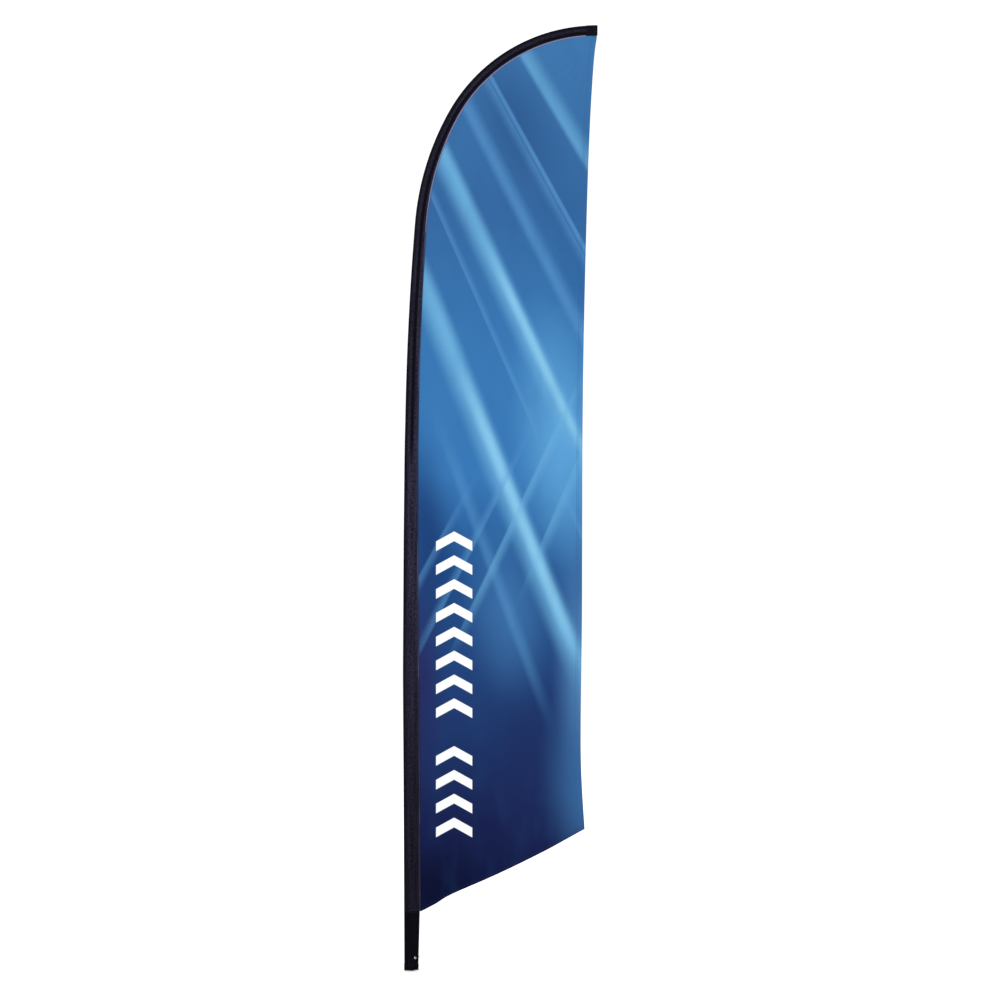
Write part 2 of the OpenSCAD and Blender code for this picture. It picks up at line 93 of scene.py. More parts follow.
# The banner's free edges in X and Z
FLY_LINE = ((0.791, 3.917), (0.776, 3.79), (0.757, 3.44), (0.74, 2.85),
            (0.731, 2.3), (0.728, 1.5), (0.723, 0.925), (0.739, 0.593))
FOOT_LINE = ((0.051, 0.247), (0.116, 0.281), (0.183, 0.321), (0.385, 0.41), (0.585, 0.508), (0.739, 0.593))
FLY_HEM_W, FOOT_HEM_W = 0.025, 0.012
SWING_FOOT = np.array((0.062, 0.253))  # ends of the line on which the banner swings
SWING_HEAD = np.array((0.777, 3.88))
BANNER_T = 0.001
FOOT_HEM_T = HEM_T * 0.85
EYELET_R = 0.0034  # hole of the eyelets
PUFF = 0.0012  # scale of the sleeve's puckers


# ---- Curves ----
def lookup(table, at):
    return np.interp(at, *zip(*table))


def smooth(value, low, high):
    t = np.clip((value - low) / (high - low), 0, 1)
    return t * t * (3 - 2 * t)


def spline(points, steps=12):
    """A Catmull-Rom curve through the points."""
    p = np.array([points[0], *points, points[-1]], float)
    t = np.linspace(0, 1, steps, endpoint=False)[:, None]
    rows = [0.5 * (2 * b + t * (c - a) + t * t * (2 * a - 5 * b + 4 * c - d)
                   + t ** 3 * (3 * b - a - 3 * c + d))
            for a, b, c, d in zip(p, p[1:], p[2:], p[3:])]
    return np.vstack([*rows, p[-1:]])


def measured(line):
    """Distance along the line at each of its points."""
    return np.concatenate([[0], np.cumsum(np.linalg.norm(np.diff(line, axis=0), axis=1))])


def points_along(line, share):
    """The points at these shares of the line's length."""
    far = measured(line)
    return np.stack([np.interp(share * far[-1], far, line[:, k]) for k in range(line.shape[1])], axis=-1)


def every(line, step):
    """The line again, with its points about step apart."""
    return points_along(line, np.linspace(0, 1, max(2, round(measured(line)[-1] / step) + 1)))


def pole_at(s):
    """X, Z and the lean in radians of the pole's axis at distance s along it."""
    x, z, lean, left = 0.0, min(s, STRAIGHT_H), 0.0, s - STRAIGHT_H
    for i, (radius, turn) in enumerate(BENDS):
        if left <= 0:
            break
        part = left / radius if i == len(BENDS) - 1 else min(left / radius, math.radians(turn))
        x += radius * (math.cos(lean) - math.cos(lean + part))
        z += radius * (math.sin(lean + part) - math.sin(lean))
        lean += part
        left -= part * radius
    return x, z, lean


def beside(s, d):
    """The X and Z of points d off the axis, towards the banner, at distance s along the pole."""
    x, z, lean = pole_at(s)
    d = np.asarray(d)
    return np.stack([x + d * math.cos(lean), z - d * math.sin(lean)], axis=-1)


def seam_at(s):
    return lookup(SLEEVE_WIDTHS, s) - lookup(FOLD_REACHES, s)


FLY = spline(FLY_LINE)
FOOT = spline(FOOT_LINE)
SEAM_S = np.linspace(PANEL_START, SLEEVE_END, 240)
SEAM = np.array([beside(s, seam_at(s)) for s in SEAM_S])


# ---- Meshes ----
def mesh_piece(name, points, faces, uv, materials, face_material=None):
    """A smooth-shaded object whose UV map holds the cloth's own flat coordinates in metres."""
    mesh = bpy.data.meshes.new(name)
    mesh.from_pydata(np.asarray(points, float).reshape(-1, 3).tolist(), [], [list(f) for f in faces])
    mesh.update()
    layer = mesh.uv_layers.new(name="cloth")
    corner = np.zeros(len(mesh.loops), np.int32)
    mesh.loops.foreach_get("vertex_index", corner)
    layer.data.foreach_set("uv", np.asarray(uv, np.float32).reshape(-1, 2)[corner].ravel())
    for material in materials:
        mesh.materials.append(material)
    if face_material is not None:
        mesh.polygons.foreach_set("material_index", np.asarray(face_material, np.int32))
    mesh.shade_smooth()
    piece = bpy.data.objects.new(name, mesh)
    bpy.context.scene.collection.objects.link(piece)
    return piece


def quads(first, second, loop=True):
    """Faces between two rows of vertex numbers of equal length."""
    n = len(first)
    count = n if loop else n - 1
    return [(first[k], first[(k + 1) % n], second[(k + 1) % n], second[k]) for k in range(count)]


def grid_faces(rows, cols, start=0, loop=True, flip=False):
    number = start + np.arange(rows * cols).reshape(rows, cols)
    faces = [f for a, b in zip(number, number[1:]) for f in quads(a, b, loop)]
    return [f[::-1] for f in faces] if flip else faces


def band_along(name, ring_rows, uv_rows, materials, face_material=None):
    """A closed band through rings of equal length, with flat ends."""
    rows, cols = ring_rows.shape[:2]
    faces = grid_faces(rows, cols)
    last = (rows - 1) * cols
    faces += [tuple(range(cols))[::-1], tuple(last + k for k in range(cols))]
    return mesh_piece(name, ring_rows, faces, uv_rows, materials, face_material)


# ---- How the banner lies ----
# Waves over the whole cloth: size, waves per metre in X and Z, start
FOLDS = ((0.0040, 1.7, 0.28, 0.3), (0.0022, 3.1, -0.45, 1.7), (0.0009, 6.3, 0.8, 4.0))
# Creases that spread from the corners where the cloth is held: corner, size, waves per turn, reach
CREASES = ((SWING_HEAD, 0.0011, 30, 0.26), (SWING_FOOT, 0.0010, 24, 0.20))
FREE_FROM = 0.28  # distance from the seam at which the cloth lies freely
BELLY, BELLY_FOOT, BELLY_H = 0.008, 0.25, 3.66  # size of the bow in the cloth, its foot and its height
EDGE_WAVE, EDGE_PITCH, EDGE_BAND = 0.0028, 0.41, 0.12  # waves along the fly, in a band this wide
SEAM_PUCKER, SEAM_PITCH, SEAM_BAND = 0.0006, 0.037, 0.03  # puckers beside the seam


def from_seam(p):
    """Distance of points from the sleeve's seam, and the distance along the pole beside them."""
    flat = p.reshape(-1, 2)
    gap = np.hypot(flat[:, None, 0] - SEAM[None, :, 0], flat[:, None, 1] - SEAM[None, :, 1])
    nearest = gap.argmin(axis=1)
    return gap.min(axis=1).reshape(p.shape[:-1]), SEAM_S[nearest].reshape(p.shape[:-1])


def lay(p):
    """How far the banner stands off its flat plane, towards +Y, at points p in X and Z."""
    x, z = p[..., 0], p[..., 1]
    gap, s = from_seam(p)
    free = smooth(gap, 0.0, FREE_FROM)
    height = BELLY * free * np.sin(np.pi * np.clip((z - BELLY_FOOT) / BELLY_H, 0, 1))
    for size, across, up, start in FOLDS:
        height += size * free * np.sin(2 * np.pi * (x * across + z * up) + start)
    for corner, size, waves, reach in CREASES:
        dx, dz = x - corner[0], z - corner[1]
        r = np.hypot(dx, dz)
        spread = smooth(r, 0.03, 0.1) * np.exp(-((r / reach) ** 2))
        height += size * np.sin(waves * np.arctan2(dx, dz)) * spread
    edge = smooth(x - np.interp(z, FLY[::-1, 1], FLY[::-1, 0]), -EDGE_BAND, 0.0)
    height += EDGE_WAVE * edge * np.sin(2 * np.pi * z / EDGE_PITCH + 1.0) * free
    bent = smooth(s, 2.9, 3.3)  # the seam puckers where it is eased round the bend
    beside_seam = np.exp(-gap / SEAM_BAND) * smooth(gap, 0, 0.006)
    height += SEAM_PUCKER * bent * np.sin(2 * np.pi * s / SEAM_PITCH) * beside_seam
    return height


def on_cloth(p, off):
    """Points in 3-D on the banner, off from its middle, for p in X and Z."""
    return np.stack([p[..., 0], lay(p) + off, p[..., 1]], axis=-1)


# ---- Materials ----
LIT = 1.34  # how brightly this studio lights an upright white surface
WAVE_RATE = 3.1831  # ridges of a Wave Texture in a metre, at a scale of 1


def srgb(*levels):
    """The surface colour that shows at these 0-255 display levels in this studio."""
    return tuple((((v / 255 + 0.055) / 1.055) ** 2.4 if v > 10 else v / 255 / 12.92) / LIT for v in levels)


class Shade:
    """A material whose nodes are added one call at a time, each call giving the node's output."""

    def __init__(self, name):
        self.material = bpy.data.materials.new(name)
        self.material.use_nodes = True
        self.tree = self.material.node_tree
        self.tree.nodes.clear()

    def add(self, kind, inputs, output=0, **settings):
        node = self.tree.nodes.new(kind)
        for key, value in settings.items():
            setattr(node, key, value)
        for key, value in inputs.items():
            self.put(node.inputs[key], value)
        return node.outputs[output]

    def put(self, socket, value):
        if isinstance(value, bpy.types.NodeSocket):
            self.tree.links.new(value, socket)
        elif socket.type == "RGBA":
            socket.default_value = (*value[:3], 1)
        else:
            socket.default_value = value

    def math(self, operation, a, b=0.0, c=0.0):
        return self.add("ShaderNodeMath", {0: a, 1: b, 2: c}, operation=operation)

    def ease(self, value, low, high):
        """0 below low and 1 above high, or the other way round where low is the larger."""
        return self.add("ShaderNodeMapRange", {"Value": value, "From Min": low, "From Max": high},
                        interpolation_type="SMOOTHSTEP")

    def mix(self, factor, a, b):
        return self.add("ShaderNodeMix", {0: factor, 6: a, 7: b}, output=2, data_type="RGBA")

    def ramp(self, value, stops):
        """A colour that runs through the stops, (value, colour), with value from 0 to 1."""
        node = self.tree.nodes.new("ShaderNodeValToRGB")
        self.put(node.inputs[0], value)
        marks = node.color_ramp.elements
        while len(marks) < len(stops):
            marks.new(0.5)
        for mark, (position, colour) in zip(marks, stops):
            mark.position, mark.color = position, (*colour, 1)
        return node.outputs[0]

    def noise(self, vector, scale, detail=2.0):
        return self.add("ShaderNodeTexNoise", {"Vector": vector, "Scale": scale, "Detail": detail})

    def wave(self, vector, pitch, direction):
        """Ridges across X, Y or Z, one every pitch metres."""
        return self.add("ShaderNodeTexWave", {"Vector": vector, "Scale": 1 / (pitch * WAVE_RATE)},
                        output=1, wave_type="BANDS", bands_direction=direction)

    def stretch(self, vector, scale):
        return self.add("ShaderNodeMapping", {"Vector": vector, "Scale": scale})

    def flat_place(self):
        return self.add("ShaderNodeUVMap", {}, uv_map="cloth")

    def place(self):
        return self.add("ShaderNodeTexCoord", {}, output=3)

    def split(self, vector):
        node = self.tree.nodes.new("ShaderNodeSeparateXYZ")
        self.put(node.inputs[0], vector)
        return node.outputs[:3]

    def bump(self, height, depth, strength=0.6):
        return self.add("ShaderNodeBump", {"Height": height, "Distance": depth, "Strength": strength})

    def finish(self, colour, roughness, normal=None, **plain):
        """Ends in a Principled shader; plain holds its sockets that are the same all over."""
        values = {"Base Color": colour, "Roughness": roughness}
        values.update({key.replace("_", " "): value for key, value in plain.items()})
        if normal is not None:
            values["Normal"] = normal
        shader = self.add("ShaderNodeBsdfPrincipled", values)
        out = self.tree.nodes.new("ShaderNodeOutputMaterial")
        self.tree.links.new(shader, out.inputs["Surface"])
        return self.material


# The print is a plain abstract: rays of light that fan out over blue from a point far beyond the head, and
# fainter ones that cross them from the other side.
SKY, PALE, ICE, DEEP = srgb(92, 156, 212), srgb(112, 182, 228), srgb(143, 207, 243), srgb(34, 78, 140)
FAN, CROSS_FAN = (-2.0, 8.0), (2.2, 5.6)  # where the rays come from, X and Z
# Each ray: its slope across for each metre down, the height where it starts, its length, how softly its
# left and right sides fade, its fade at the ends, colour and strength
RAYS = (
    (0.596, 4.05, 1.30, 0.030, 0.080, 0.20, PALE, 0.60),
    (0.552, 4.05, 1.70, 0.070, 0.012, 0.30, SKY, 0.65),
    (0.548, 4.05, 1.70, 0.006, 0.012, 0.30, DEEP, 0.40),
    (0.512, 4.05, 2.00, 0.040, 0.060, 0.40, SKY, 0.55),
    (0.470, 3.85, 1.90, 0.090, 0.050, 0.40, PALE, 0.85),
    (0.470, 3.10, 1.05, 0.035, 0.030, 0.35, ICE, 0.80),
    (0.441, 3.60, 2.10, 0.008, 0.030, 0.30, SKY, 0.45),
    (0.405, 3.20, 2.10, 0.100, 0.060, 0.35, PALE, 0.90),
    (0.405, 2.60, 1.40, 0.040, 0.040, 0.40, ICE, 0.85),
    (0.372, 2.45, 1.50, 0.030, 0.050, 0.50, SKY, 0.40),
)
CROSS_RAYS = (
    (-0.430, 2.90, 1.40, 0.012, 0.050, 0.40, PALE, 0.40),
    (-0.474, 2.60, 1.35, 0.012, 0.045, 0.40, PALE, 0.45),
    (-0.505, 2.35, 1.20, 0.040, 0.012, 0.40, SKY, 0.45),
    (-0.545, 2.15, 1.10, 0.012, 0.040, 0.40, SKY, 0.40),
)
# Broad soft patches: centre X and Z, how far the long axis leans, half width, half length, colour, strength
PATCHES = (
    (0.45, 3.56, 0.40, 0.22, 0.46, srgb(42, 84, 138), 0.65),
    (0.70, 2.98, 0.20, 0.14, 0.40, srgb(46, 98, 156), 0.45),
    (0.64, 2.22, 0.10, 0.22, 0.66, srgb(100, 174, 228), 0.80),
    (0.08, 1.84, 0.20, 0.15, 0.58, srgb(26, 60, 118), 0.85),
    (0.42, 1.50, 0.10, 0.20, 0.42, srgb(72, 130, 188), 0.60),
    (0.06, 1.24, 0.00, 0.11, 0.60, srgb(38, 38, 94), 0.75),
    (0.50, 0.84, 0.00, 0.16, 0.52, srgb(28, 44, 96), 0.60),
    (0.75, 1.22, 0.05, 0.15, 0.62, srgb(92, 148, 202), 0.85),
    (0.74, 0.74, 0.12, 0.19, 0.44, srgb(62, 114, 170), 0.80),
    (0.12, 0.34, 0.40, 0.26, 0.24, srgb(8, 14, 48), 0.85),
)
# The blue under the rays, from the foot to the head, as shares of BASE_H
BASE_H = 4.0
BASE = (
    (0.06, srgb(10, 18, 58)), (0.16, srgb(23, 34, 82)), (0.29, srgb(32, 62, 118)), (0.42, srgb(36, 86, 148)),
    (0.52, srgb(58, 124, 188)), (0.66, srgb(58, 122, 184)), (0.80, srgb(54, 106, 164)),
    (0.98, srgb(64, 122, 178)),
)
MOTIF_X, MOTIF_HALF_W = 0.192, 0.076  # a column of plain chevrons
MOTIF_FOOT, MOTIF_PITCH, MOTIF_COUNT, MOTIF_BREAK = 0.60, 0.1, 13, 4
CHEVRON_RISE, CHEVRON_SHARE = 0.55, 0.42
CHEVRON_WHITE, SHOWN_THROUGH = (0.79, 0.80, 0.82), (0.42, 0.50, 0.62)
INK_SOFTNESS = 0.015  # how softly a chevron's edge ends, as a share of the pitch


def with_ray(shade, colour, x, z, source, ray):
    """The colour with one ray of light from the source over it."""
    slope, start, length, left, right, fade, tint, strength = ray
    middle = shade.math("MULTIPLY_ADD", shade.math("SUBTRACT", source[1], z), slope, source[0])
    off = shade.math("SUBTRACT", x, middle)
    body = shade.math("MULTIPLY", shade.ease(off, -left, 0), shade.ease(off, right, 0))
    down = shade.math("SUBTRACT", start, z)
    ends = shade.math("MULTIPLY", shade.ease(down, 0, fade), shade.ease(down, length, length - fade))
    share = shade.math("MULTIPLY", shade.math("MULTIPLY", body, ends), strength)
    return shade.mix(share, colour, tint)


def patched(shade, colour, flat, patch):
    """The colour with one soft oval patch over it."""
    x, z, lean, half_w, half_l, tint, strength = patch
    inside = shade.add("ShaderNodeMapping", {"Vector": flat, "Location": (x, z, 0), "Rotation": (0, 0, lean),
                                             "Scale": (half_w, half_l, 1)}, vector_type="TEXTURE")
    far = shade.add("ShaderNodeVectorMath", {0: inside}, output=1, operation="LENGTH")
    return shade.mix(shade.math("MULTIPLY", shade.ease(far, 1.1, 0), strength), colour, tint)


def chevrons(shade, x, z):
    """1 on the printed column of chevrons and 0 off it."""
    off = shade.math("ABSOLUTE", shade.math("SUBTRACT", x, MOTIF_X))
    up = shade.math("SUBTRACT", shade.math("MULTIPLY_ADD", off, CHEVRON_RISE, z), MOTIF_FOOT)
    turns = shade.math("DIVIDE", up, MOTIF_PITCH)
    part = shade.math("FRACT", turns)
    mark = shade.math("MULTIPLY", shade.ease(part, 0.0, INK_SOFTNESS),
                      shade.ease(part, CHEVRON_SHARE, CHEVRON_SHARE - INK_SOFTNESS))
    whole = shade.math("FLOOR", turns)
    kept = shade.math("MULTIPLY", shade.math("GREATER_THAN", whole, -0.5),
                      shade.math("LESS_THAN", whole, MOTIF_COUNT - 0.5))
    gap = shade.math("COMPARE", whole, float(MOTIF_BREAK), 0.5)
    kept = shade.math("MULTIPLY", kept, shade.math("SUBTRACT", 1.0, gap))
    wide = shade.ease(off, MOTIF_HALF_W + 0.0008, MOTIF_HALF_W - 0.0008)
    return shade.math("MULTIPLY", shade.math("MULTIPLY", mark, kept), wide)


def printed_cloth(name, through):
    """Knitted polyester printed on one side; through is how much paler the print is on this face."""
    shade = Shade(name)
    flat = shade.flat_place()
    x, z, _ = shade.split(flat)
    colour = shade.ramp(shade.math("DIVIDE", z, BASE_H), BASE)
    for patch in PATCHES:
        colour = patched(shade, colour, flat, patch)
    for source, rays in ((FAN, RAYS), (CROSS_FAN, CROSS_RAYS)):
        for ray in rays:
            colour = with_ray(shade, colour, x, z, source, ray)
    dye = shade.noise(shade.stretch(flat, (3.0, 1.0, 1.0)), 4.0)
    colour = shade.mix(shade.math("MULTIPLY", shade.ease(dye, 0.45, 0.75), 0.10), colour, srgb(36, 82, 142))
    colour = shade.mix(chevrons(shade, x, z), colour, CHEVRON_WHITE)
    if through:
        colour = shade.mix(through, colour, SHOWN_THROUGH)
    knit = shade.math("ADD", shade.wave(flat, 0.0016, "X"), shade.wave(flat, 0.0011, "Y"))
    grain = shade.ease(knit, 0.0, 2.0)
    colour = shade.add("ShaderNodeMix", {0: 0.22, 6: colour, 7: grain}, output=2, data_type="RGBA",
                       blend_type="MULTIPLY")
    rough = shade.math("MULTIPLY_ADD", shade.noise(flat, 60.0), 0.14, 0.58)
    return shade.finish(colour, rough, shade.bump(grain, 0.0002), Specular_IOR_Level=0.03)


def knitted(name, dark, light, level=0.05):
    """Black knitted polyester: mottled and finely ribbed, with painted shade that makes it darkest at the
    fold and in a groove by the pole.
    """
    shade = Shade(name)
    flat = shade.flat_place()
    across, along, _ = shade.split(flat)
    from_fold = shade.math("ABSOLUTE", across)
    # Painted shade: the colour darkens towards the fold, where the cloth turns away from the light, and the
    # whole is darker towards the foot.
    middle = shade.math("MULTIPLY", shade.ease(from_fold, 0.008, 0.034),
                        shade.math("MULTIPLY_ADD", shade.ease(along, 0.3, 2.0), 0.7, 0.3))
    # Painted shade in the groove where the cloth dips between the pole and the seam, high up the pole and
    # broken up in stretches.
    groove_shade = shade.math("MULTIPLY", shade.ease(from_fold, 0.024, 0.034), shade.ease(from_fold, 0.050, 0.041))
    groove_shade = shade.math("MULTIPLY", groove_shade, shade.ease(along, 2.0, 2.25))
    broken = shade.noise(shade.stretch(flat, (1.0, 4.0, 1.0)), 1.0)
    groove_shade = shade.math("MULTIPLY", groove_shade, shade.ease(broken, 0.22, 0.36))
    middle = shade.math("MULTIPLY_ADD", shade.math("MULTIPLY", groove_shade, middle), -0.95, middle)
    blotch = shade.ease(shade.noise(shade.stretch(flat, (150.0, 90.0, 1.0)), 1.0, 2.0), 0.38, 0.64)
    drawn = shade.ease(shade.noise(shade.stretch(flat, (90.0, 3.0, 1.0)), 1.0), 0.35, 0.62)
    ribs = shade.math("ADD", shade.wave(flat, 0.0014, "X"), shade.wave(flat, 0.0018, "Y"))
    mottle = shade.math("MULTIPLY_ADD", blotch, 0.40, shade.math("MULTIPLY", drawn, 0.32))
    mottle = shade.math("MULTIPLY_ADD", ribs, 0.14, mottle)
    colour = shade.mix(shade.math("MULTIPLY", mottle, middle), dark, light)
    rough = shade.math("MULTIPLY_ADD", blotch, -0.12, 0.86)
    return shade.finish(colour, rough, shade.bump(ribs, 0.0003), Specular_IOR_Level=level)


def webbing(name, dark, light, level=0.04):
    """Woven webbing: a coarse over-and-under of two yarns."""
    shade = Shade(name)
    flat = shade.flat_place()
    weave = shade.math("MULTIPLY", shade.wave(flat, 0.0022, "X"), shade.wave(flat, 0.0026, "Y"))
    lit = shade.math("MULTIPLY_ADD", shade.noise(flat, 300.0), 0.4, shade.math("MULTIPLY", weave, 0.5))
    colour = shade.mix(lit, dark, light)
    return shade.finish(colour, shade.math("MULTIPLY_ADD", weave, -0.2, 0.85), shade.bump(weave, 0.0005),
                        Specular_IOR_Level=level)


def yarn(name, dark, light, pitch=0.0007):
    """Twisted thread or a braided sheath: slanting ridges along it."""
    shade = Shade(name)
    flat = shade.flat_place()
    slant = shade.add("ShaderNodeMapping", {"Vector": flat, "Rotation": (0, 0, 0.7)})
    fluff = shade.math("MULTIPLY", shade.noise(flat, 900.0), 0.4)
    twist = shade.math("ADD", shade.wave(slant, pitch, "X"), fluff)
    colour = shade.mix(shade.ease(twist, 0.1, 1.2), dark, light)
    rough = shade.math("MULTIPLY_ADD", twist, 0.1, 0.6)
    return shade.finish(colour, rough, shade.bump(twist, 0.00015), Specular_IOR_Level=0.2)


def taped(name):
    """The narrow binding: pale at the head, and darker below, in some stretches more than in others."""
    shade = Shade(name)
    flat = shade.flat_place()
    _, along, _ = shade.split(flat)
    ribs = shade.wave(flat, 0.0012, "Y")
    # The binding's colour turns darker below the head, more in some stretches than in others.
    darker_stretches = shade.ease(shade.noise(shade.stretch(flat, (6.0, 2.2, 1.0)), 1.5, 3.0), 0.36, 0.52)
    lower = shade.ease(along, 3.45, 2.85)
    darkening = shade.math("MULTIPLY", darker_stretches, lower)
    colour = shade.mix(shade.math("MULTIPLY", ribs, 0.4), srgb(116, 118, 162), srgb(148, 150, 194))
    colour = shade.mix(shade.math("MULTIPLY_ADD", darkening, 0.25, shade.math("MULTIPLY", lower, 0.72)),
                       colour, srgb(30, 33, 62))
    return shade.finish(colour, shade.math("MULTIPLY_ADD", ribs, 0.1, 0.6), shade.bump(ribs, 0.0002),
                        Specular_IOR_Level=0.15)


def solid(name, colour, roughness, grain, depth, tint=0.12, metallic=1.0, flat=False, **plain):
    """A hard material whose grain, X, Y and Z scales of a noise, varies its colour, gloss and surface.
    flat lays the grain along the piece's own UV map."""
    shade = Shade(name)
    place = shade.flat_place() if flat else shade.place()
    fleck = shade.noise(shade.stretch(place, grain), 1.0, 4.0)
    dust = shade.ease(shade.noise(place, 45.0, 3.0), 0.45, 0.75)
    darker = tuple(c * (1 - 2 * tint) for c in colour)
    shown = shade.mix(shade.ease(fleck, 0.3, 0.7), darker, colour)
    shown = shade.mix(shade.math("MULTIPLY", dust, 0.15), shown, tuple(c * 0.7 for c in colour))
    rough = shade.math("MULTIPLY_ADD", fleck, 0.14, roughness - 0.07)
    rough = shade.math("ADD", rough, shade.math("MULTIPLY", dust, 0.06))
    return shade.finish(shown, rough, shade.bump(fleck, depth, 0.4), Metallic=metallic, **plain)


PRINT_FRONT = printed_cloth("print_front", 0.0)
PRINT_BACK = printed_cloth("print_back", 0.07)
SLEEVE_CLOTH = knitted("sleeve_cloth", srgb(6, 5, 14), srgb(60, 57, 80))
TAIL_CLOTH = knitted("tail_cloth", srgb(1, 1, 6), srgb(34, 32, 46), 0.03)
WEBBING = webbing("pocket_webbing", srgb(4, 4, 10), srgb(30, 28, 40))
TAPE = taped("seam_tape")
DARK_THREAD = yarn("dark_thread", (0.004, 0.004, 0.008), (0.030, 0.028, 0.045))
BLUE_THREAD = yarn("blue_thread", srgb(36, 84, 142), srgb(84, 134, 188))
NAVY_THREAD = yarn("navy_thread", srgb(10, 16, 46), srgb(34, 46, 92))
PALE_THREAD = yarn("pale_thread", srgb(110, 100, 140), srgb(186, 176, 204))
CORD_SHEATH = yarn("elastic_cord", (0.004, 0.004, 0.006), (0.035, 0.034, 0.042), 0.0012)
SPRING_STRIP = solid("spring_strip", (0.26, 0.27, 0.31), 0.30, (1400, 60, 1), 0.00003, flat=True)
HARD = {
    "spindle_steel": solid("spindle_steel", (0.62, 0.63, 0.65), 0.30, (60, 60, 4000), 0.00006),
    "bearing_steel": solid("bearing_steel", (0.78, 0.79, 0.81), 0.14, (900, 900, 900), 0.00001, 0.04),
    "cage_brass": solid("cage_brass", (0.72, 0.55, 0.30), 0.28, (700, 700, 700), 0.00003),
    "washer_nylon": solid("washer_nylon", (0.80, 0.77, 0.66), 0.48, (500, 500, 500), 0.00004, 0.05, 0.0),
    "spring_steel": solid("spring_steel", (0.22, 0.22, 0.26), 0.32, (900, 900, 60), 0.00003),
    "anodised_aluminium": solid("anodised_aluminium", (0.70, 0.71, 0.73), 0.36, (1400, 1400, 14), 0.00004,
                                0.06),
    "black_plastic": solid("black_plastic", (0.022, 0.022, 0.025), 0.48, (1500, 1500, 1500), 0.00008,
                           0.15, 0.0),
    "fibreglass": solid("fibreglass", (0.74, 0.71, 0.58), 0.34, (700, 700, 9), 0.00006, 0.14, 0.0,
                        Coat_Weight=0.3),
    "plated_fitting": solid("plated_fitting", (0.74, 0.74, 0.73), 0.20, (500, 500, 500), 0.00003, 0.08),
}
for part in frame["record"]["subparts"]:
    slots = frame["nodes"][part["node"]].data.materials
    slots.clear()
    slots.append(HARD.get(part["material_slot"], SLEEVE_CLOTH))


# ---- Sleeve ----
ARC_STEPS = FLANK_STEPS = 14


def pucker(s, u):
    """How far the sleeve's cloth puckers outwards, u of the way from the pole to the seam."""
    eased = smooth(s, 2.9, 3.4) * (0.5 + 0.5 * np.sin(2 * np.pi * (s / 0.031 + 0.6 * np.sin(7 * s)))) * u
    dragged = 0.6 * (0.5 + 0.5 * np.sin(2 * np.pi * (s / 0.19 + 0.7 * u) + np.sin(5 * s)))
    return PUFF * (eased + dragged) * np.sin(np.pi * np.clip(u, 0, 1)) ** 0.7 * 0.8


def half_section(s, grow):
    """One side of the section from the fold to the seam: places across the pole, and half thicknesses.
    grow is 0 for the hollow, and from the cloth's thickness up for an outside."""
    fold, half = lookup(FOLD_REACHES, s) - SLEEVE_T, lookup(POLE_RADII, s) + 0.0005
    seam = seam_at(s)
    flat, proud = seam - SEAM_W, grow - SLEEVE_T
    a = np.linspace(0, np.pi / 2, ARC_STEPS + 1)
    u = np.linspace(0, 1, FLANK_STEPS + 1)[1:-1]
    if grow > 0:
        thick = HEM_T / 2 + proud
        edge = ((flat, thick), (seam - 0.003, thick), (seam + proud - 0.0004, thick),
                (seam + proud, thick - 0.0005))
    else:
        edge = ((flat - 0.001, 0.0003), (flat - 0.0007, 0.00025), (flat - 0.0003, 0.0002), (flat, 0.00015))
    flank = half * (1 - u ** 1.7) + grow + pucker(s, u)
    return (np.concatenate([-(fold + grow) * np.cos(a), flat * u, [e[0] for e in edge]]),
            np.concatenate([(half + grow) * np.sin(a), flank, [e[1] for e in edge]]))


def ring(s, grow):
    """The section at distance s as points in 3-D, and for the UV map the distance from the fold, and s."""
    across, high = half_section(s, grow)
    round_it = measured(np.stack([across, high], axis=-1))
    across, high = np.concatenate([across, across[:0:-1]]), np.concatenate([-high, high[:0:-1]])
    flat = np.concatenate([-round_it, round_it[:0:-1]])
    xz = beside(s, across)
    return np.stack([xz[:, 0], high, xz[:, 1]], axis=-1), np.stack([flat, np.full(len(flat), s)], axis=-1)


def cloth_tube(name, stations, outer, inner, material, closed_from=None):
    """Cloth between an outer and an inner skin; outer holds each station's growth. With closed_from,
    the hollow ends at that station and the far end is closed."""
    skin = [ring(s, g) for s, g in zip(stations, outer)]
    hollow = [ring(s, inner) for s in stations if closed_from is None or s <= closed_from]
    n, rows, deep = len(skin[0][0]), len(skin), len(hollow)
    faces = grid_faces(rows, n) + grid_faces(deep, n, rows * n, flip=True)
    faces += quads(range(n), range(rows * n, rows * n + n))
    outer_end = range(rows * n - n, rows * n)
    inner_end = range((rows + deep) * n - n, (rows + deep) * n)
    faces += quads(outer_end, inner_end) if closed_from is None else [tuple(outer_end), tuple(inner_end)]
    points = np.vstack([r[0] for r in skin + hollow])
    uv = np.vstack([r[1] for r in skin + hollow])
    return mesh_piece(name, points, faces, uv, [material])


EASE = 0.0004  # how far a cut edge of cloth is rounded


def rounded(start, end, step, grow):
    """Stations between start and end and the outside's growth at each, rounded over at both ends."""
    between = np.arange(start + step, end - step / 2, step)
    stations = np.concatenate([[start, start + EASE / 2, start + EASE], between,
                               [end - EASE, end - EASE / 2, end]])
    outer = np.full(len(stations), float(grow))
    outer[[0, -1]] -= EASE
    outer[[1, -2]] -= EASE * 0.25
    return stations, outer


FINE_FROM = 2.1  # distance along the pole from which the sleeve's stations lie closer together
CUFF_END = 0.030
LIP_STEPS, LIP_DROP = 5, 0.0012  # how the pocket rounds in to its closed end


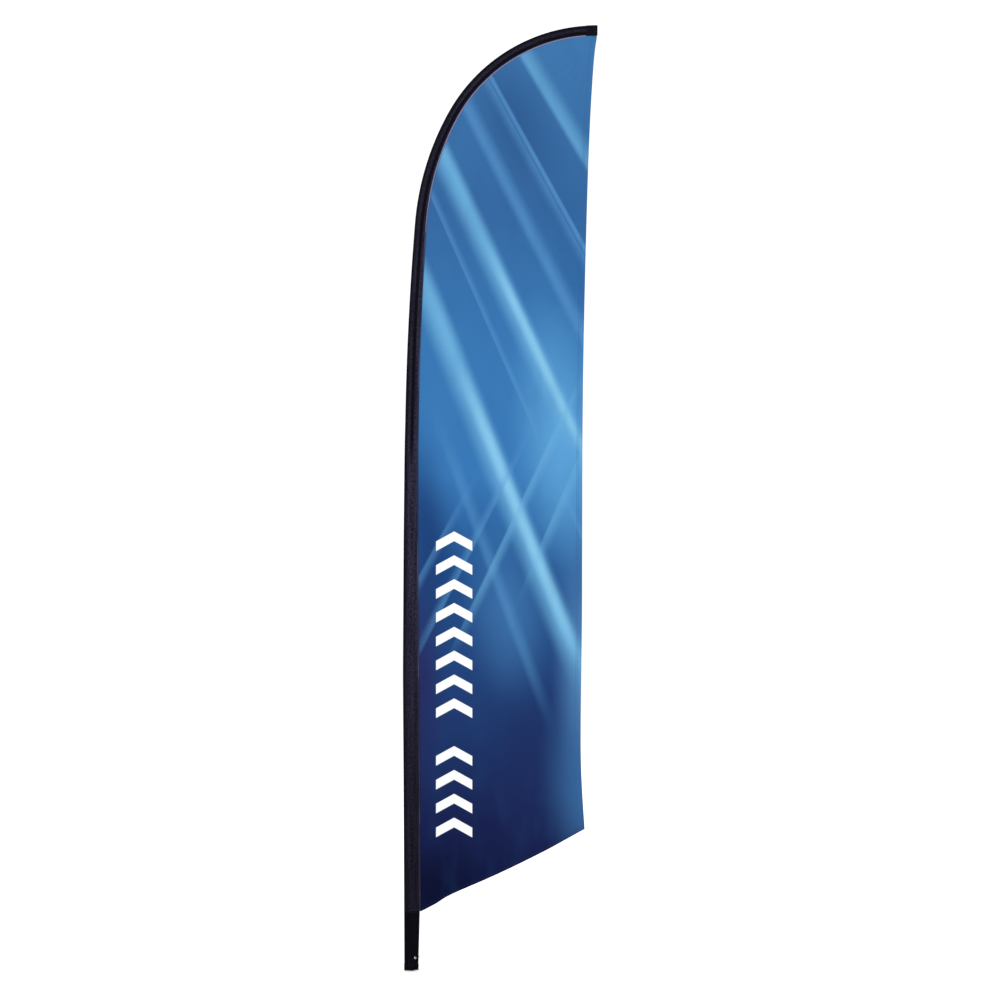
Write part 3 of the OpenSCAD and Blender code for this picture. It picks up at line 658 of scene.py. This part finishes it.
def sleeve_piece():
    """The sleeve's cloth above the tail."""
    straight, straight_outer = rounded(PANEL_START + TOUCH, FINE_FROM, 0.012, SLEEVE_T)
    bent, bent_outer = rounded(FINE_FROM, SLEEVE_END, 0.008, SLEEVE_T)
    stations = np.concatenate([straight[:-3], bent[3:]])
    outer = np.concatenate([straight_outer[:-3], bent_outer[3:]])
    return cloth_tube("sleeve", stations, outer, 0, SLEEVE_CLOTH)


def tail_piece():
    """The blacker cloth below the banner's foot."""
    stations, outer = rounded(SLEEVE_FOOT, PANEL_START, 0.008, SLEEVE_T)
    return cloth_tube("sleeve_tail_cloth", stations, outer, 0, TAIL_CLOTH)


def cuff_piece():
    """The hem folded up round the tail's foot."""
    stations, outer = rounded(SLEEVE_FOOT, CUFF_END, 0.004, 2 * SLEEVE_T)
    return cloth_tube("sleeve_foot_cuff", stations, outer, SLEEVE_T + TOUCH, TAIL_CLOTH)


def pocket_piece():
    """The webbing over the end of the sleeve, closed over the pole's tip."""
    stations, outer = rounded(POCKET_START, SLEEVE_END, 0.004, 2 * SLEEVE_T)
    outer[-3:] = 2 * SLEEVE_T
    lip = np.linspace(SLEEVE_END + 0.0005, POCKET_END, LIP_STEPS)
    lip_outer = 2 * SLEEVE_T - LIP_DROP * np.linspace(0, 1, LIP_STEPS) ** 2
    stations, outer = np.concatenate([stations, lip]), np.concatenate([outer, lip_outer])
    return cloth_tube("tip_pocket_webbing", stations, outer, SLEEVE_T + TOUCH, WEBBING,
                      closed_from=SLEEVE_END + TOUCH)


def pierced(piece):
    """Cuts the hole of the eyelets through both walls of the tail."""
    low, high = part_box("sleeve_eyelets")
    middle = (low + high) / 2
    bpy.ops.mesh.primitive_cylinder_add(vertices=32, radius=EYELET_R, depth=0.06, location=middle,
                                        rotation=(math.pi / 2, 0, 0))
    drill = bpy.context.object
    cut = piece.modifiers.new("holes", "BOOLEAN")
    cut.operation, cut.solver, cut.object = "DIFFERENCE", "EXACT", drill
    graph = bpy.context.evaluated_depsgraph_get()
    mesh = bpy.data.meshes.new_from_object(piece.evaluated_get(graph))
    piece.modifiers.clear()
    piece.data = mesh
    bpy.data.objects.remove(drill)


sleeve, tail, cuff, pocket = sleeve_piece(), tail_piece(), cuff_piece(), pocket_piece()
pierced(tail)

# ---- Banner ----
ROWS, COLS = 360, 64
POCKET_GAP = 0.0012  # how far the banner keeps off the seam under the tip pocket


def banner_grid():
    """The banner's points in X and Z, in rows from the seam to the fly edge, the first along the foot."""
    t, u = np.linspace(0, 1, ROWS), np.linspace(0, 1, COLS)
    s = PANEL_START + t * (SLEEVE_END - PANEL_START)
    first = np.array([beside(k, seam_at(k) + (TOUCH if k < POCKET_START else POCKET_GAP)) for k in s])
    last = points_along(FLY[::-1], t) - (HEM_T / 4, 0)
    rows = first[:, None] + u[None, :, None] * (last - first)[:, None]
    sag = points_along(FOOT, u) - rows[0]
    sag[:, 1] += HEM_T / 4
    return rows + sag[None] * ((1 - smooth(t, 0, 0.08)) ** 2)[:, None, None]


def banner_piece():
    """The printed cloth, with its front and back in a material each."""
    p = banner_grid()
    front, back = on_cloth(p, -BANNER_T / 2), on_cloth(p, BANNER_T / 2)
    count = ROWS * COLS
    number = np.arange(count).reshape(ROWS, COLS)
    rim = np.concatenate([number[0, :-1], number[:-1, -1], number[-1, :0:-1], number[:0:-1, 0]]).tolist()
    faces = grid_faces(ROWS, COLS, loop=False) + grid_faces(ROWS, COLS, count, loop=False, flip=True)
    sides = len(faces) // 2
    faces += quads([k + count for k in rim], rim)
    face_material = [0] * sides + [1] * sides + [0] * len(rim)
    return mesh_piece("banner", np.concatenate([front, back]).reshape(-1, 3), faces,
                      np.concatenate([p, p]).reshape(-1, 2), [PRINT_FRONT, PRINT_BACK], face_material)


banner = banner_piece()


class Hem:
    """A folded edge of the banner: the cloth turned over the edge line and stitched down."""

    def __init__(self, line, width, at_start, inward, at_end):
        self.line, self.width = every(line, 0.008), width
        far = measured(self.line)
        start, end = 1 - smooth(far, 0, 0.04), smooth(far, far[-1] - 0.04, far[-1])
        self.inward = np.outer(start, at_start) + np.outer(end, at_end) + np.outer(1 - start - end, inward)

    def at(self, off):
        """The line this far inside the edge, in X and Z."""
        return self.line[:, None] + np.asarray(off)[None, :, None] * self.inward[:, None]

    def piece(self, name, thick):
        h, w = thick / 2, self.width
        front = ((w, -0.0005), (w - 0.0007, -h * 0.92), (w * 0.82, -h), (w * 0.64, -h), (w * 0.3, -h),
                 (0.0016, -h), (0.0004, -h * 0.7))
        section = np.array((*front, (0, 0), *[(x, -y) for x, y in front[::-1]]))
        p = self.at(section[:, 0])
        side = len(front)
        faces = ([0] * side + [1] * side + [0]) * (len(self.line) - 1) + [0, 0]
        return band_along(name, on_cloth(p, section[:, 1]), p, [PRINT_FRONT, PRINT_BACK], faces)


fly = Hem(FLY, FLY_HEM_W, (-1, 0), (-1, 0), (-1, -0.55))
foot = Hem(FOOT, FOOT_HEM_W, (0, 1), (-0.45, 0.89), (-0.45, 0.89))
fly_hem = fly.piece("fly_hem_fold", HEM_T)
foot_hem = foot.piece("bottom_hem_fold", FOOT_HEM_T)


def tape_piece(name, face):
    """The binding over the seam between the sleeve and the banner, on one face."""
    stations = np.arange(PANEL_START, POCKET_START - 0.001, 0.008)
    # The section: places across the seam, and heights from the middle of the cloth
    across = np.array((-0.0020, -0.0019, -0.0012, 0.0005, 0.0020, 0.0028, 0.0030, 0.0005))
    high = np.array((0.0012, 0.0017, 0.0020, 0.0021, 0.0020, 0.0016, 0.0005, 0.0007))
    xz = np.array([beside(s, seam_at(s) + across) for s in stations])
    points = np.stack([xz[..., 0], np.broadcast_to(face * high, xz.shape[:2]), xz[..., 1]], axis=-1)
    uv = np.stack(np.broadcast_arrays(across[None, :], stations[:, None]), axis=-1)
    if face > 0:
        points, uv = points[:, ::-1], uv[:, ::-1]
    return band_along(name, points, uv, [TAPE])


tapes = [tape_piece("seam_tape_front", -1), tape_piece("seam_tape_back", 1)]

# ---- Stitches ----
SIDES = 6
AROUND = 2 * np.pi * np.arange(SIDES) / SIDES
# Rings along a stitch, in lengths, and their thickness
ALONG = np.array((-0.5, -0.42, 0.0, 0.42, 0.5))
PLUMP = np.array((0.35, 0.85, 1.0, 0.85, 0.35))
SEAM_ROW, TAIL_ROW = -0.0048, -0.0030  # where the rows run, from the sleeve's edge
ZIG, ZAG, ZIGZAG_STEP = -0.0009, 0.0019, 0.0042
TAPE_TOP = 0.0022  # where the thread lies on the binding, from the middle of the cloth


def stitches(name, starts, ends, normals, material, thread=0.0005):
    """A row of plump stitches from starts to ends, lying on cloth with these normals."""
    middle, run = (starts + ends) / 2, ends - starts
    length = np.linalg.norm(run, axis=1, keepdims=True)
    side = np.cross(run / length, normals)
    up = thread * (PLUMP[:, None] * np.sin(AROUND) + 0.5 * (PLUMP[:, None] - 0.6))
    flat = thread * 1.15 * PLUMP[:, None] * np.cos(AROUND)
    points = (middle[:, None, None] + ALONG[None, :, None, None] * run[:, None, None]
              + up[None, ..., None] * normals[:, None, None] + flat[None, ..., None] * side[:, None, None])
    one = grid_faces(len(ALONG), SIDES)
    one += [tuple(range(SIDES))[::-1], tuple((len(ALONG) - 1) * SIDES + k for k in range(SIDES))]
    each = len(ALONG) * SIDES
    faces = [tuple(k + i * each for k in f) for i in range(len(starts)) for f in one]
    uv = np.zeros((len(starts), len(ALONG), SIDES, 2))
    uv[..., 0] = thread * AROUND
    uv[..., 1] = ALONG[None, :, None] * length[:, None] + 0.006 * np.arange(len(starts))[:, None, None]
    return mesh_piece(name, points.reshape(-1, 3), faces, uv.reshape(-1, 2), [material])


def lockstitch(name, path, normals, material, pitch=0.0055, gap=0.0013, thread=0.0005):
    """Straight stitches in a row along a path on the cloth."""
    n = max(2, round(measured(path)[-1] / pitch))
    share = np.arange(n) / n
    return stitches(name, points_along(path, share), points_along(path, share + (1 - gap / pitch) / n),
                    points_along(normals, share), material, thread)


def facing(path, face):
    return np.tile((0.0, float(face), 0.0), (len(path), 1))


def seam_path(off, face, high, start=PANEL_START, end=POCKET_START):
    """A path along the seam, off to its side and high above the middle of the cloth, on one face."""
    xz = np.array([beside(s, seam_at(s) + off) for s in np.arange(start, end, 0.01)])
    return np.stack([xz[:, 0], np.full(len(xz), face * high), xz[:, 1]], axis=-1)


def zigzag(name, start, end, face, thread):
    """Stitches to and fro across the binding."""
    s = np.arange(start, end, ZIGZAG_STEP)
    off = np.where(np.arange(len(s)) % 2, ZIG, ZAG)
    xz = np.array([beside(a, seam_at(a) + b) for a, b in zip(s, off)])
    path = np.stack([xz[:, 0], np.full(len(xz), face * TAPE_TOP), xz[:, 1]], axis=-1)
    return stitches(name, path[:-1], path[1:], facing(path[1:], face), thread, 0.0004)


def round_path(s, grow):
    """The path round the sleeve at station s, and its outward normals."""
    points, _ = ring(s, grow)
    n = len(points)
    along = points[(np.arange(n) + 1) % n] - points[np.arange(n) - 1]
    x, z, lean = pole_at(s)
    out = np.cross(along, (math.sin(lean), 0, math.cos(lean)))
    out /= np.linalg.norm(out, axis=1, keepdims=True)
    return np.vstack([points, points[:1]]), np.vstack([out, out[:1]])


THREAD_CHANGE = 3.1  # distance along the pole from which the binding's thread is pale
# Hem, distance inside its edge, name, thickness of the hem, thread
BANNER_ROWS = (
    (fly, FLY_HEM_W - 0.002, "fly_stitches", HEM_T, BLUE_THREAD),
    (fly, FLY_HEM_W - 0.009, "fly_stitches_inner", HEM_T, BLUE_THREAD),
    (foot, FOOT_HEM_W - 0.002, "foot_stitches", FOOT_HEM_T, NAVY_THREAD),
)
# Distance along the pole, thickness of the cloth there, name
ROUND_ROWS = (
    (0.026, 2 * SLEEVE_T, "cuff_stitches"),
    (PANEL_START + 0.006, SLEEVE_T, "sleeve_end_stitches"),
    (PANEL_START - 0.006, SLEEVE_T, "tail_end_stitches"),
    (POCKET_START + 0.004, 2 * SLEEVE_T, "pocket_stitches"),
    (POCKET_START + 0.034, 2 * SLEEVE_T, "pocket_end_stitches"),
)
THREAD_LIFT = 0.0002  # how far a thread's middle lies above the cloth
mast_stitches, banner_stitches = [], []
for face, word in ((-1, "front"), (1, "back")):
    high = HEM_T / 2 + THREAD_LIFT
    seam_row = seam_path(SEAM_ROW, face, high)
    tail_row = seam_path(TAIL_ROW, face, high, CUFF_END + 0.004, PANEL_START)
    mast_stitches += [
        lockstitch(f"seam_stitches_{word}", seam_row, facing(seam_row, face), DARK_THREAD),
        lockstitch(f"tail_stitches_{word}", tail_row, facing(tail_row, face), DARK_THREAD),
        zigzag(f"binding_stitches_{word}", PANEL_START + 0.002, THREAD_CHANGE, face, DARK_THREAD),
        zigzag(f"binding_stitches_{word}_head", THREAD_CHANGE, POCKET_START - 0.004, face, PALE_THREAD),
    ]
    for hem, off, title, thick, thread in BANNER_ROWS:
        path = on_cloth(hem.at([off])[:, 0], face * (thick / 2 + TOUCH))
        banner_stitches.append(lockstitch(f"{title}_{word}", path, facing(path, face), thread))
for s, grow, title in ROUND_ROWS:
    mast_stitches.append(lockstitch(title, *round_path(s, grow + THREAD_LIFT), DARK_THREAD, pitch=0.004))

# ---- Tension cord ----
# Half of the elastic loop: from the hook, out through the front eyelet to the seam's edge
CORD_HALF = (
    (0.0203, -0.003, 0.0276), (0.021, -0.0045, 0.033), (0.024, -0.0042, 0.044), (0.0267, -0.0026, 0.0535),
    (0.0285, -0.0052, 0.055), (0.0305, -0.008, 0.0556), (0.036, -0.0066, 0.0575), (0.042, -0.004, 0.058),
)
CORD_EXIT = (0.0203, 0, 0.0266)
CORD_BACK = tuple((x, -y, z) for x, y, z in CORD_HALF[::-1])
CORD_ROUTE = np.array([CORD_EXIT, *CORD_HALF, (0.046, 0, 0.058), *CORD_BACK, CORD_EXIT])
CORD_SIDES = 12


def cord_piece():
    """The loop as a round tube that closes on itself."""
    line = every(spline(CORD_ROUTE, 8), CORD_D / 6)
    loop, n = line[:-1], len(line) - 1
    along = np.roll(loop, -1, axis=0) - np.roll(loop, 1, axis=0)
    along /= np.linalg.norm(along, axis=1, keepdims=True)
    side = np.cross(along, (1.0, 0.001, 0.0))
    side /= np.linalg.norm(side, axis=1, keepdims=True)
    up = np.cross(side, along)
    turn = 2 * np.pi * np.arange(CORD_SIDES) / CORD_SIDES
    across = np.cos(turn)[None, :, None] * side[:, None] + np.sin(turn)[None, :, None] * up[:, None]
    points = loop[:, None] + CORD_D / 2 * across
    last = (n - 1) * CORD_SIDES
    faces = grid_faces(n, CORD_SIDES) + quads(range(last, last + CORD_SIDES), range(CORD_SIDES))
    uv = np.stack(np.broadcast_arrays(CORD_D / 2 * turn[None, :], measured(line)[:-1, None]), axis=-1)
    return mesh_piece("elastic_loop", points, faces, uv, [CORD_SHEATH]), line


cord, cord_line = cord_piece()

# ---- Button springs ----
STRIP_T, STRIP_ROUND = 0.0008, 0.00015


def spring_piece(name, node):
    """A U of strip steel, from the top of the leg behind the button round to the leg on the far wall.
    Gives the piece, the X of the U's middle and the X of the leg behind the button."""
    low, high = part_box(node)
    middle_x, radius, half = (low.x + high.x) / 2, (high.x - low.x - STRIP_T) / 2, STRIP_T / 2
    turn = np.linspace(0, np.pi, 33)
    bend = np.stack([middle_x + radius * np.cos(turn), low.z + half + radius * (1 - np.sin(turn))], axis=-1)
    line = every(np.vstack([(middle_x + radius, high.z), bend, (middle_x - radius, high.z)]), 0.001)
    along = np.gradient(line, axis=0)
    along /= np.linalg.norm(along, axis=1, keepdims=True)
    out = np.stack([-along[:, 1], along[:, 0]], axis=-1)
    edge, cut = (high.y - low.y) / 2, STRIP_ROUND
    section = np.array(((-edge, cut - half), (cut - edge, -half), (edge - cut, -half), (edge, cut - half),
                        (edge, half - cut), (edge - cut, half), (cut - edge, half), (-edge, half - cut)))
    xz = line[:, None] + section[None, :, 1, None] * out[:, None]
    points = np.stack([xz[..., 0], np.broadcast_to(section[:, 0], xz.shape[:2]), xz[..., 1]], axis=-1)
    around = section[:, 0] + section[:, 1]
    uv = np.stack(np.broadcast_arrays(around[None, :], measured(line)[:, None]), axis=-1)
    return band_along(name, points, uv, [SPRING_STRIP]), middle_x, high.x - STRIP_T


# ---- Pieces baked in place or carried by the mast, with the CAD parts they replace hidden ----
for word in ("lower", "upper"):
    spring, still_x, moving_x = spring_piece(f"{word}_spring_strip", f"{word}_button_spring")
    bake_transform(spring)
    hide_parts(f"{word}_button_spring")
for piece in (banner, fly_hem, foot_hem, *banner_stitches):
    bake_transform(piece)
for piece in (sleeve, tail, cuff, pocket, cord, *tapes, *mast_stitches):
    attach(piece, "mast")
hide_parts("mast_panel", "sail_panel")
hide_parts("fly_hem")
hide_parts("bottom_hem")
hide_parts("seam_tape")
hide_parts("pole_sleeve")
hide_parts("sleeve_tail")
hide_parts("sleeve_cuff")
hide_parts("tip_pocket")
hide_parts("tension_cord")


# ---- Camera, light and floor ----
VIEW_H = 4.193  # height that the picture covers at the banner
SHIFT_X, SHIFT_Z = -0.001, -0.009  # from the object's middle to the picture's
LENS, SENSOR = 100.0, 36.0
# Name, place, width and power of each round softbox
SOFTBOXES = (
    ("key", (-7.0, -8.0, 6.5), 4.0, 460),
    ("fill", (8.0, -7.0, 3.5), 6.0, 120),
    ("rim", (-3.0, 9.0, 6.0), 5.0, 260),
)
WORLD_STRENGTH = 1.08
FLOOR_R, FLOOR_SIDES = 60.0, 96
middle = (cad_low + cad_high) / 2


def front_camera():
    """A camera straight in front of the banner."""
    camera = bpy.data.objects.new("camera", bpy.data.cameras.new("camera"))
    camera.data.lens, camera.data.sensor_width = LENS, SENSOR
    camera.data.clip_end = 200
    camera.location = (middle.x + SHIFT_X, -VIEW_H * LENS / SENSOR, middle.z + SHIFT_Z)
    camera.rotation_euler = (math.pi / 2, 0, 0)
    bpy.context.scene.collection.objects.link(camera)
    bpy.context.scene.camera = camera


def softbox(name, place, size, power):
    """A round area light that points at the middle of the object."""
    light = bpy.data.lights.new(name, "AREA")
    light.shape, light.size, light.energy = "DISK", size, power
    lamp = bpy.data.objects.new(name, light)
    lamp.location = place
    lamp.rotation_euler = (Vector(middle) - Vector(place)).to_track_quat("-Z", "Y").to_euler()
    bpy.context.scene.collection.objects.link(lamp)


def white_world():
    """Even white light from all round."""
    world = bpy.data.worlds.new("studio")
    world.use_nodes = True
    background = world.node_tree.nodes["Background"]
    background.inputs["Color"].default_value = (1, 1, 1, 1)
    background.inputs["Strength"].default_value = WORLD_STRENGTH
    bpy.context.scene.world = world
    bpy.context.scene.view_settings.view_transform = "Standard"


def floor_piece():
    """A plain white floor, faintly uneven in tone."""
    shade = Shade("floor")
    grain = shade.noise(shade.place(), 30.0, 3.0)
    pale = shade.mix(grain, (0.94, 0.94, 0.94), (0.96, 0.96, 0.96))
    material = shade.finish(pale, 0.9, Specular_IOR_Level=0.0)
    angle = 2 * np.pi * np.arange(FLOOR_SIDES) / FLOOR_SIDES
    outline = np.stack([FLOOR_R * np.cos(angle), FLOOR_R * np.sin(angle), np.zeros(FLOOR_SIDES)], axis=-1)
    return mesh_piece("floor", outline, [tuple(range(FLOOR_SIDES))], outline[:, :2], [material])


front_camera()
for box in SOFTBOXES:
    softbox(*box)
white_world()
floor = floor_piece()
